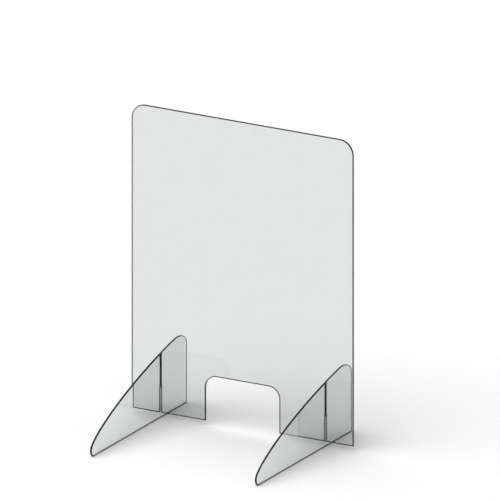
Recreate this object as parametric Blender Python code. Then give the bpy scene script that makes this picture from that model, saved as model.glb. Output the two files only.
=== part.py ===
"""Counter-top sneeze guard that slots together from three pieces of clear acrylic sheet.

A tall panel stands across two fin-shaped feet. Each crossing is a half-lap: a slot that runs up from the
panel's bottom edge drops over a slot that runs down from the foot's sloping top edge. No fastener is used,
so the panel lifts straight off the feet.

Frame: metres, +Z up. The counter is Z = 0, X runs along the panel, and the feet reach towards -Y.
The origin is the middle of the footprint, on the counter.
"""

from math import asin, cos, pi, radians, sin, sqrt

import bmesh
import bpy
from mathutils import Vector

# Sheet, and the fit where two pieces cross
SHEET = 0.005
GAP = 0.0003
SLOT_WIDTH = SHEET + 2 * GAP

# Panel: heights are measured from its own bottom edge, which stands off the counter
PANEL_WIDTH = 0.600
PANEL_HEIGHT = 0.762
PANEL_STANDOFF = 0.012
PANEL_CORNER_RADIUS = 0.037
PANEL_SLOT_LENGTH = 0.069
PASS_WIDTH = 0.199
PASS_HEIGHT = 0.113
PASS_CORNER_RADIUS = 0.029

# Feet: depths are measured forward from the upright back edge, and heights from the counter
FOOT_SPACING = 0.446
FOOT_DEPTH = 0.471
FOOT_HEIGHT = 0.1775
FOOT_SLOT_DEPTH = 0.1295

# The foot's rounded back top corner is part of an ellipse, from the back edge round to an angle past the top
CROWN_DEPTH = 0.045
CROWN_RISE = 0.0275
CROWN_CENTRE = Vector((-CROWN_DEPTH, FOOT_HEIGHT - CROWN_RISE))
CROWN_END = radians(108)

# The foot's nose is part of a circle, from an angle above the front down to the counter
NOSE_RADIUS = 0.017
NOSE_CENTRE = Vector((NOSE_RADIUS - FOOT_DEPTH, 0.015))
NOSE_START = radians(153)

# How far each end's tangent pulls the cubic curve between crown and nose
CROWN_PULL = 0.218
NOSE_PULL = 0.038

# Facets on each round stretch
CORNER_FACETS = 36
SLOT_END_FACETS = 16
CROWN_FACETS = 32
SLOPE_FACETS = 32
NOSE_FACETS = 20

# Clear acrylic
ACRYLIC_COLOUR = (0.87, 0.885, 0.88, 1.0)
ACRYLIC_ROUGHNESS = 0.04
ACRYLIC_IOR = 1.49
ACRYLIC_TRANSMISSION = 0.9


def arc(centre, radii, start, end, facets):
    """Points along an ellipse or a circle from one angle to another, both ends included."""
    angles = [start + (end - start) * i / facets for i in range(facets + 1)]
    return [(centre[0] + radii[0] * cos(a), centre[1] + radii[1] * sin(a)) for a in angles]


def slot_end(centre, tip, opens_down):
    """The round end of a slot, from its left side to its right side. tip is its highest or lowest point."""
    r = SLOT_WIDTH / 2
    middle = (centre, tip - r if opens_down else tip + r)
    return arc(middle, (r, r), pi, 0 if opens_down else 2 * pi, SLOT_END_FACETS)


def foot_slot_floor():
    """Height of the lowest point of the foot's slot.

    The slots have round ends and the sheets have square edges, so each sheet's corners reach the other
    slot's end before its middle does. The panel slot's tip is above this floor by both rises and a gap.
    """
    r = SLOT_WIDTH / 2
    corner_rise = r - sqrt(r**2 - (SHEET / 2) ** 2)
    return PANEL_STANDOFF + PANEL_SLOT_LENGTH - 2 * corner_rise - GAP


def panel_slot(centre):
    """The stretch of the panel's outline that goes up, round and down one slot."""
    left = (centre - SLOT_WIDTH / 2, 0)
    right = (centre + SLOT_WIDTH / 2, 0)
    return [left, *slot_end(centre, PANEL_SLOT_LENGTH, opens_down=True), right]


def panel_outline():
    """The panel's edge as (X, height), anticlockwise from the bottom left corner."""
    side = PANEL_WIDTH / 2
    pass_side = PASS_WIDTH / 2
    pass_radii = (PASS_CORNER_RADIUS, PASS_CORNER_RADIUS)
    pass_x, pass_z = pass_side - PASS_CORNER_RADIUS, PASS_HEIGHT - PASS_CORNER_RADIUS
    top_radii = (PANEL_CORNER_RADIUS, PANEL_CORNER_RADIUS)
    top_x, top_z = side - PANEL_CORNER_RADIUS, PANEL_HEIGHT - PANEL_CORNER_RADIUS

    points = [(-side, 0), *panel_slot(-FOOT_SPACING / 2), (-pass_side, 0)]
    points += arc((-pass_x, pass_z), pass_radii, pi, pi / 2, CORNER_FACETS)
    points += arc((pass_x, pass_z), pass_radii, pi / 2, 0, CORNER_FACETS)
    points += [(pass_side, 0), *panel_slot(FOOT_SPACING / 2), (side, 0)]
    points += arc((top_x, top_z), top_radii, 0, pi / 2, CORNER_FACETS)
    points += arc((-top_x, top_z), top_radii, pi / 2, pi, CORNER_FACETS)
    return points


def slope_controls():
    """Control points of the cubic curve along the foot's sloping edge, from the crown to the nose.

    The curve leaves the crown's ellipse and meets the nose's circle along their tangents, so the edge has
    no corner.
    """
    crown_end = CROWN_CENTRE + Vector((CROWN_DEPTH * cos(CROWN_END), CROWN_RISE * sin(CROWN_END)))
    crown_way = Vector((-CROWN_DEPTH * sin(CROWN_END), CROWN_RISE * cos(CROWN_END))).normalized()
    nose_start = NOSE_CENTRE + NOSE_RADIUS * Vector((cos(NOSE_START), sin(NOSE_START)))
    nose_way = Vector((-sin(NOSE_START), cos(NOSE_START)))
    return crown_end, crown_end + CROWN_PULL * crown_way, nose_start - NOSE_PULL * nose_way, nose_start


def slope_point(controls, t):
    """The point at t on the sloping edge, from 0 at the crown to 1 at the nose, as (-depth, height)."""
    a, b, c, d = controls
    s = 1 - t
    return a * s**3 + b * 3 * s * s * t + c * 3 * s * t * t + d * t**3


def slope_at(controls, depth):
    """The value of t where the sloping edge reaches a depth, found by halving."""
    low, high = 0.0, 1.0
    for _ in range(40):
        middle = (low + high) / 2
        if -slope_point(controls, middle).x < depth:
            low = middle
        else:
            high = middle
    return low


def slope_stretch(controls, start, end):
    """Points along the sloping edge between two values of t, both ends included."""
    steps = [start + (end - start) * i / SLOPE_FACETS for i in range(SLOPE_FACETS + 1)]
    return [tuple(slope_point(controls, t)) for t in steps]


def foot_outline():
    """The foot's edge as (-depth, height), anticlockwise from the bottom of its upright back edge."""
    controls = slope_controls()
    slot_back = slope_at(controls, FOOT_SLOT_DEPTH - SLOT_WIDTH / 2)
    slot_front = slope_at(controls, FOOT_SLOT_DEPTH + SLOT_WIDTH / 2)
    nose_radii = (NOSE_RADIUS, NOSE_RADIUS)
    nose_end = pi + asin(NOSE_CENTRE.y / NOSE_RADIUS)

    points = [(0, 0)]
    points += arc(CROWN_CENTRE, (CROWN_DEPTH, CROWN_RISE), 0, CROWN_END, CROWN_FACETS)
    points += slope_stretch(controls, 0, slot_back)[1:]
    points += reversed(slot_end(-FOOT_SLOT_DEPTH, foot_slot_floor(), opens_down=False))
    points += slope_stretch(controls, slot_front, 1)
    points += arc(NOSE_CENTRE, nose_radii, NOSE_START, pi, NOSE_FACETS // 2)[1:]
    points += arc(NOSE_CENTRE, nose_radii, pi, nose_end, NOSE_FACETS)[1:]
    return points


def acrylic(name):
    """A clear, glossy Principled material."""
    material = bpy.data.materials.new(name)
    material.use_nodes = True
    shader = material.node_tree.nodes["Principled BSDF"]
    shader.inputs["Base Color"].default_value = ACRYLIC_COLOUR
    shader.inputs["Metallic"].default_value = 0.0
    shader.inputs["Roughness"].default_value = ACRYLIC_ROUGHNESS
    shader.inputs["IOR"].default_value = ACRYLIC_IOR
    shader.inputs["Transmission Weight"].default_value = ACRYLIC_TRANSMISSION
    return material


def cut_sheet(name, corners, normal):
    """An object cut from sheet: corners are its outline on the sheet's middle plane, in order."""
    shape = bmesh.new()
    near = [shape.verts.new(corner - normal * SHEET / 2) for corner in corners]
    grown = bmesh.ops.extrude_face_region(shape, geom=[shape.faces.new(near)])["geom"]
    far = [item for item in grown if isinstance(item, bmesh.types.BMVert)]
    bmesh.ops.translate(shape, vec=normal * SHEET, verts=far)
    bmesh.ops.recalc_face_normals(shape, faces=shape.faces)
    mesh = bpy.data.meshes.new(name)
    shape.to_mesh(mesh)
    shape.free()
    mesh.materials.append(acrylic(name + "_acrylic"))
    piece = bpy.data.objects.new(name, mesh)
    bpy.context.scene.collection.objects.link(piece)
    return piece


def add_panel():
    """The panel. Its own origin is the middle of its bottom edge."""
    corners = [Vector((x, 0, z)) for x, z in panel_outline()]
    return cut_sheet("panel", corners, Vector((0, 1, 0)))


def add_foot(name):
    """A foot. Its own origin is on the counter below its slot, on the line that the panel lifts along."""
    corners = [Vector((0, y + FOOT_SLOT_DEPTH, z)) for y, z in foot_outline()]
    return cut_sheet(name, corners, Vector((1, 0, 0)))


def stand(piece, place, carrier=None, carrier_place=Vector()):
    """Puts a piece at a place in the part's frame. It moves with its carrier, which slides it."""
    piece.parent = carrier
    piece.location = place - carrier_place


def main():
    for old in list(bpy.data.objects):
        bpy.data.objects.remove(old)
    panel_y = FOOT_DEPTH / 2 - FOOT_SLOT_DEPTH
    left_place = Vector((-FOOT_SPACING / 2, panel_y, 0))
    panel_place = Vector((0, panel_y, PANEL_STANDOFF))
    right_place = Vector((FOOT_SPACING / 2, panel_y, 0))

    left_foot = add_foot("left_foot")
    panel = add_panel()
    right_foot = add_foot("right_foot")
    stand(left_foot, left_place)
    stand(panel, panel_place, left_foot, left_place)
    stand(right_foot, right_place, panel, panel_place)


main()
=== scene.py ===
"""The look of a slot-together sneeze guard: cut and polished acrylic sheet on a pale studio floor."""

from math import cos, radians, sin

import bmesh
import bpy
from mathutils import Matrix, Vector


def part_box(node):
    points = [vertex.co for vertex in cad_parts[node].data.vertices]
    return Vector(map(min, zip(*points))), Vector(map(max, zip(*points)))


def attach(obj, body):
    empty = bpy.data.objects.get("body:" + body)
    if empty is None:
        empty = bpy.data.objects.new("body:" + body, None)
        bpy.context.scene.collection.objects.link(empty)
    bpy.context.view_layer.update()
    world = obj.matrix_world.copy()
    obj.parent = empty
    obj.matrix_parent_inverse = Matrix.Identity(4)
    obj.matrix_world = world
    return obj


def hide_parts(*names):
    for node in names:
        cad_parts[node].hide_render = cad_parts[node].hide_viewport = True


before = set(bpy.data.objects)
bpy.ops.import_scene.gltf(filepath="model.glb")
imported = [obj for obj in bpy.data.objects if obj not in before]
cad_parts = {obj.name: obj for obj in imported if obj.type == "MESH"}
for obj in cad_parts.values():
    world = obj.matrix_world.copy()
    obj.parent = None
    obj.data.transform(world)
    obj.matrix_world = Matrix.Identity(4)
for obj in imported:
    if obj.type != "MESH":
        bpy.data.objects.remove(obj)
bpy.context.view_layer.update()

# Each sheet's CAD node, which is its body too, the axis square to it, its material slot in the record,
# and the sheets it crosses
SHEETS = (
    ("panel", 1, "panel_sheet", ("left_foot", "right_foot")),
    ("left_foot", 0, "foot_sheet", ("panel",)),
    ("right_foot", 0, "foot_sheet", ("panel",)),
)

# Mesh: how near points are welded, how flat neighbours are joined, how sharp an edge stays sharp, and how
# far a sheet's arrises are rounded
WELD = 0.00001
FLAT = radians(0.05)
SHARP = radians(35)
ARRIS_RADIUS = 0.002
ARRIS_FACETS = 4

# A sheet's two materials
FACE_SLOT = 0
EDGE_SLOT = 1

# Polished faces: the share of each colour of light that a sheet lets through, its roughness from its
# cleanest place to its most smeared, and its long shallow waves
ACRYLIC_IOR = 1.49
FACE_COLOUR = (0.742, 0.761, 0.754, 1.0)
POLISH = (0.012, 0.04)
SMEAR_SCALE = 7.0
SMEAR_SPAN = (0.4, 0.75)
WAVE_SCALE = 9.0
WAVE_HEIGHT = 0.0003

# Hairline scratches: how they lean, how fine and how long they are, how sparse, how rough and how deep
SCRATCH_LEANS = (radians(14), radians(-38), radians(71))
SCRATCH_SCALES = (1300.0, 1300.0, 12.0)
SCRATCH_SPAN = (0.72, 0.76)
SCRATCH_ROUGHNESS = 0.035
SCRATCH_DEPTH = 0.000001

# The streaked band where one sheet has rubbed in another's slot: how far it reaches from the other sheet's
# middle, and over what height it fades out below the feet's tops
RUB_SPAN = (0.0028, 0.0048)
RUB_FADE = 0.03
RUB_ROUGHNESS = 0.2
STREAK_SCALES = (1500.0, 1500.0, 25.0)
STREAK_SPAN = (0.4, 0.65)
FAINTEST_STREAK = 0.1

# Cut edges: painted near black as painted shade, standing in for the dark look of a clear sheet's edges;
# satin, with the cutter's lines running through the thickness
EDGE_PAINTED_SHADE = (0.004, 0.0045, 0.0042, 1.0)
EDGE_GLOSS = 0.25
EDGE_POLISH = (0.26, 0.46)
CUTTER_FINENESS = 1100.0
CUTTER_SPAN = (0.3, 0.7)
CUTTER_DEPTH = 0.00008

# The view: its direction, its width in metres, and its centre from the part's origin, to the right and up
VIEW_AZIMUTH = radians(28.93)
VIEW_ELEVATION = radians(18.61)
VIEW_WIDTH = 1.1838
VIEW_RIGHT = 0.0684
VIEW_UP = 0.4598
VIEW_DISTANCE = 6.0

# Studio: a wide floor, soft light from above, and surroundings that dim from the horizon up
FLOOR_SIZE = 60.0
FLOOR_DROP = 0.0003
FLOOR_COLOUR = (0.93, 0.93, 0.93, 1.0)
FLOOR_ROUGHNESS = 0.8
SKY_SPAN = (0.0, 0.3)
SKY_LIGHT = (1.0, 0.3)
SUN_POWER = 2.6
SUN_SPREAD = radians(80)
SUN_TILT = (radians(12), radians(-14), 0.0)


def add(tree, kind, inputs=None, **settings):
    """Adds a node. inputs gives each input a value, or the output that feeds it."""
    made = tree.nodes.new(kind)
    for name, value in settings.items():
        setattr(made, name, value)
    for name, value in (inputs or {}).items():
        if isinstance(value, bpy.types.NodeSocket):
            tree.links.new(value, made.inputs[name])
        else:
            made.inputs[name].default_value = value
    return made


def blank_material(name):
    """A material with an empty node tree, the tree and its output node."""
    material = bpy.data.materials.new(name)
    material.use_nodes = True
    material.node_tree.nodes.clear()
    return material, material.node_tree, add(material.node_tree, "ShaderNodeOutputMaterial")


def ramp(tree, value, span, result):
    """Goes from the first of result to the second as value goes from the first of span to the second."""
    return add(tree, "ShaderNodeMapRange", {
        "Value": value, "From Min": span[0], "From Max": span[1],
        "To Min": result[0], "To Max": result[1]}).outputs[0]


def maths(tree, operation, first, second):
    """The result of one Math node."""
    return add(tree, "ShaderNodeMath", {0: first, 1: second}, operation=operation).outputs[0]


def stretched_noise(tree, place, scales, detail):
    """Noise whose grain has its own scale along each axis. A scale of 0 draws it out into straight lines."""
    at = add(tree, "ShaderNodeVectorMath", {0: place, 1: scales}, operation="MULTIPLY").outputs[0]
    return add(tree, "ShaderNodeTexNoise", {"Vector": at, "Scale": 1.0, "Detail": detail}).outputs["Fac"]


def hairlines(tree, place, normal_axis):
    """1 on sparse fine scratches that lean several ways across a sheet, and 0 between them."""
    normal = [float(axis == normal_axis) for axis in range(3)]
    total = 0.0
    for lean in SCRATCH_LEANS:
        turned = add(tree, "ShaderNodeVectorRotate", {"Vector": place, "Axis": normal, "Angle": lean})
        grain = stretched_noise(tree, turned.outputs[0], SCRATCH_SCALES, detail=1.0)
        total = maths(tree, "ADD", total, ramp(tree, grain, SCRATCH_SPAN, (0.0, 1.0)))
    return maths(tree, "MINIMUM", total, 1.0)


def rubbing(tree, place, normal_axis, crossed):
    """How worn a sheet is where it crosses others: streaks along the slots, fading out at the feet's tops."""
    across_axis = 1 - normal_axis
    parts = add(tree, "ShaderNodeSeparateXYZ", {0: place}).outputs
    band = 0.0
    for other in crossed:
        low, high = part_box(other)
        middle = (low[across_axis] + high[across_axis]) / 2
        off = maths(tree, "ABSOLUTE", maths(tree, "SUBTRACT", parts[across_axis], middle), 0.0)
        band = maths(tree, "ADD", band, ramp(tree, off, RUB_SPAN, (1.0, 0.0)))
    foot_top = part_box("left_foot")[1][2]
    below = ramp(tree, parts[2], (foot_top - RUB_FADE, foot_top), (1.0, 0.0))
    grain = stretched_noise(tree, place, STREAK_SCALES, detail=2.0)
    streaks = ramp(tree, grain, STREAK_SPAN, (FAINTEST_STREAK, 1.0))
    return maths(tree, "MULTIPLY", maths(tree, "MULTIPLY", band, below), streaks)


def polished_faces(name, normal_axis, crossed):
    """A sheet's two faces: clear and glossy, with faint smears, hairline scratches and rubbed bands."""
    material, tree, output = blank_material(name)
    place = add(tree, "ShaderNodeTexCoord").outputs["Object"]
    smears = add(tree, "ShaderNodeTexNoise", {
        "Vector": place, "Scale": SMEAR_SCALE, "Detail": 4.0, "Roughness": 0.6}).outputs["Fac"]
    scratches = hairlines(tree, place, normal_axis)
    scratched = maths(tree, "MULTIPLY", scratches, SCRATCH_ROUGHNESS)
    rubbed = maths(tree, "MULTIPLY", rubbing(tree, place, normal_axis, crossed), RUB_ROUGHNESS)
    worn = maths(tree, "ADD", scratched, rubbed)
    roughness = maths(tree, "ADD", ramp(tree, smears, SMEAR_SPAN, POLISH), worn)

    waves = add(tree, "ShaderNodeTexNoise", {"Vector": place, "Scale": WAVE_SCALE, "Detail": 0.0})
    wavy = add(tree, "ShaderNodeBump", {
        "Height": waves.outputs["Fac"], "Strength": 1.0, "Distance": WAVE_HEIGHT})
    scored = add(tree, "ShaderNodeBump", {
        "Height": scratches, "Strength": 1.0, "Distance": SCRATCH_DEPTH,
        "Normal": wavy.outputs[0]}, invert=True)
    shader = add(tree, "ShaderNodeBsdfPrincipled", {
        "Base Color": FACE_COLOUR, "Roughness": roughness, "Normal": scored.outputs[0],
        "IOR": ACRYLIC_IOR, "Transmission Weight": 1.0})
    tree.links.new(shader.outputs[0], output.inputs["Surface"])
    return material


def cut_edges(name, normal_axis):
    """A sheet's edges and arrises: painted near black as painted shade for the dark look of clear edges, and
    satin, with the cutter's lines running through the thickness.
    """
    material, tree, output = blank_material(name)
    place = add(tree, "ShaderNodeTexCoord").outputs["Object"]
    scales = [0.0 if axis == normal_axis else CUTTER_FINENESS for axis in range(3)]
    lines = stretched_noise(tree, place, scales, detail=2.0)
    cut = add(tree, "ShaderNodeBump", {"Height": lines, "Strength": 1.0, "Distance": CUTTER_DEPTH})
    # The base colour is painted shade: near black in place of the dark look a clear edge gets from the light
    shader = add(tree, "ShaderNodeBsdfPrincipled", {
        "Base Color": EDGE_PAINTED_SHADE, "Roughness": ramp(tree, lines, CUTTER_SPAN, EDGE_POLISH),
        "Normal": cut.outputs[0], "IOR": ACRYLIC_IOR, "Specular IOR Level": EDGE_GLOSS})
    tree.links.new(shader.outputs[0], output.inputs["Surface"])
    return material


def lies_flat(face, normal_axis):
    """Whether a polygon is part of one of a sheet's two faces."""
    return len({vert.co[normal_axis] for vert in face.verts}) == 1


def sheet_shape(node, normal_axis):
    """A CAD sheet's shape, with one exactly flat polygon for each of its two faces, and rounded arrises."""
    shape = bmesh.new()
    shape.from_mesh(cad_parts[node].data)
    bmesh.ops.remove_doubles(shape, verts=shape.verts, dist=WELD)
    low, high = (corner[normal_axis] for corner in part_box(node))
    for vert in shape.verts:
        vert.co[normal_axis] = low if vert.co[normal_axis] < (low + high) / 2 else high
    bmesh.ops.dissolve_faces(shape, faces=[face for face in shape.faces if lies_flat(face, normal_axis)])
    bmesh.ops.dissolve_limit(shape, angle_limit=FLAT, verts=shape.verts, edges=shape.edges)

    for face in shape.faces:
        face.material_index = FACE_SLOT if lies_flat(face, normal_axis) else EDGE_SLOT
        face.smooth = True
    rim = [edge for edge in shape.edges if len({face.material_index for face in edge.link_faces}) == 2]
    bmesh.ops.bevel(
        shape, geom=rim, offset=ARRIS_RADIUS, segments=ARRIS_FACETS, profile=0.5, affect="EDGES",
        material=EDGE_SLOT)
    return shape


def finished_sheet(node, normal_axis, slot, crossed):
    """The finished piece that stands for a CAD sheet. It rides on the sheet's own body."""
    name = node + "_acrylic"
    mesh = bpy.data.meshes.new(name)
    shape = sheet_shape(node, normal_axis)
    shape.to_mesh(mesh)
    shape.free()
    mesh.attributes.remove(mesh.attributes["custom_normal"])
    mesh.set_sharp_from_angle(angle=SHARP)
    mesh.materials.append(polished_faces(node + "_faces", normal_axis, crossed))
    mesh.materials.append(cut_edges(node + "_edges", normal_axis))
    piece = bpy.data.objects.new(name, mesh)
    bpy.context.scene.collection.objects.link(piece)
    even = piece.modifiers.new("even_faces", "WEIGHTED_NORMAL")
    even.keep_sharp = True
    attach(piece, node)
    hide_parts(node)


def add_floor():
    """A wide pale floor, just below the feet."""
    half = FLOOR_SIZE / 2
    corners = [(-half, -half, 0), (half, -half, 0), (half, half, 0), (-half, half, 0)]
    mesh = bpy.data.meshes.new("floor")
    mesh.from_pydata(corners, [], [(0, 1, 2, 3)])
    material, tree, output = blank_material("floor")
    shader = add(tree, "ShaderNodeBsdfPrincipled", {"Base Color": FLOOR_COLOUR, "Roughness": FLOOR_ROUGHNESS})
    tree.links.new(shader.outputs[0], output.inputs["Surface"])
    mesh.materials.append(material)
    floor = bpy.data.objects.new("floor", mesh)
    floor.location.z = -FLOOR_DROP
    bpy.context.scene.collection.objects.link(floor)


def add_camera():
    """A parallel view from the front right and above."""
    a, e = VIEW_AZIMUTH, VIEW_ELEVATION
    right = Vector((cos(a), sin(a), 0))
    back = Vector((sin(a) * cos(e), -cos(a) * cos(e), sin(e)))
    up = back.cross(right)
    data = bpy.data.cameras.new("camera")
    data.type = "ORTHO"
    data.ortho_scale = VIEW_WIDTH
    camera = bpy.data.objects.new("camera", data)
    turn = Matrix((right, up, back)).transposed().to_4x4()
    camera.matrix_world = Matrix.Translation(VIEW_RIGHT * right + VIEW_UP * up + VIEW_DISTANCE * back) @ turn
    bpy.context.scene.collection.objects.link(camera)
    bpy.context.scene.camera = camera


def add_lights():
    """Even light from above, and surroundings that are bright at the horizon and dimmer higher up."""
    world = bpy.data.worlds.new("studio")
    world.use_nodes = True
    tree = world.node_tree
    tree.nodes.clear()
    way = add(tree, "ShaderNodeTexCoord").outputs["Generated"]
    height = add(tree, "ShaderNodeSeparateXYZ", {0: way}).outputs["Z"]
    glow = add(tree, "ShaderNodeBackground", {"Color": ramp(tree, height, SKY_SPAN, SKY_LIGHT)})
    add(tree, "ShaderNodeOutputWorld", {"Surface": glow.outputs[0]})
    bpy.context.scene.world = world

    data = bpy.data.lights.new("overhead", "SUN")
    data.energy = SUN_POWER
    data.angle = SUN_SPREAD
    sun = bpy.data.objects.new("overhead", data)
    sun.rotation_euler = SUN_TILT
    bpy.context.scene.collection.objects.link(sun)


bpy.context.scene.view_settings.view_transform = "Standard"
add_camera()
add_lights()
add_floor()
for sheet in SHEETS:
    finished_sheet(*sheet)
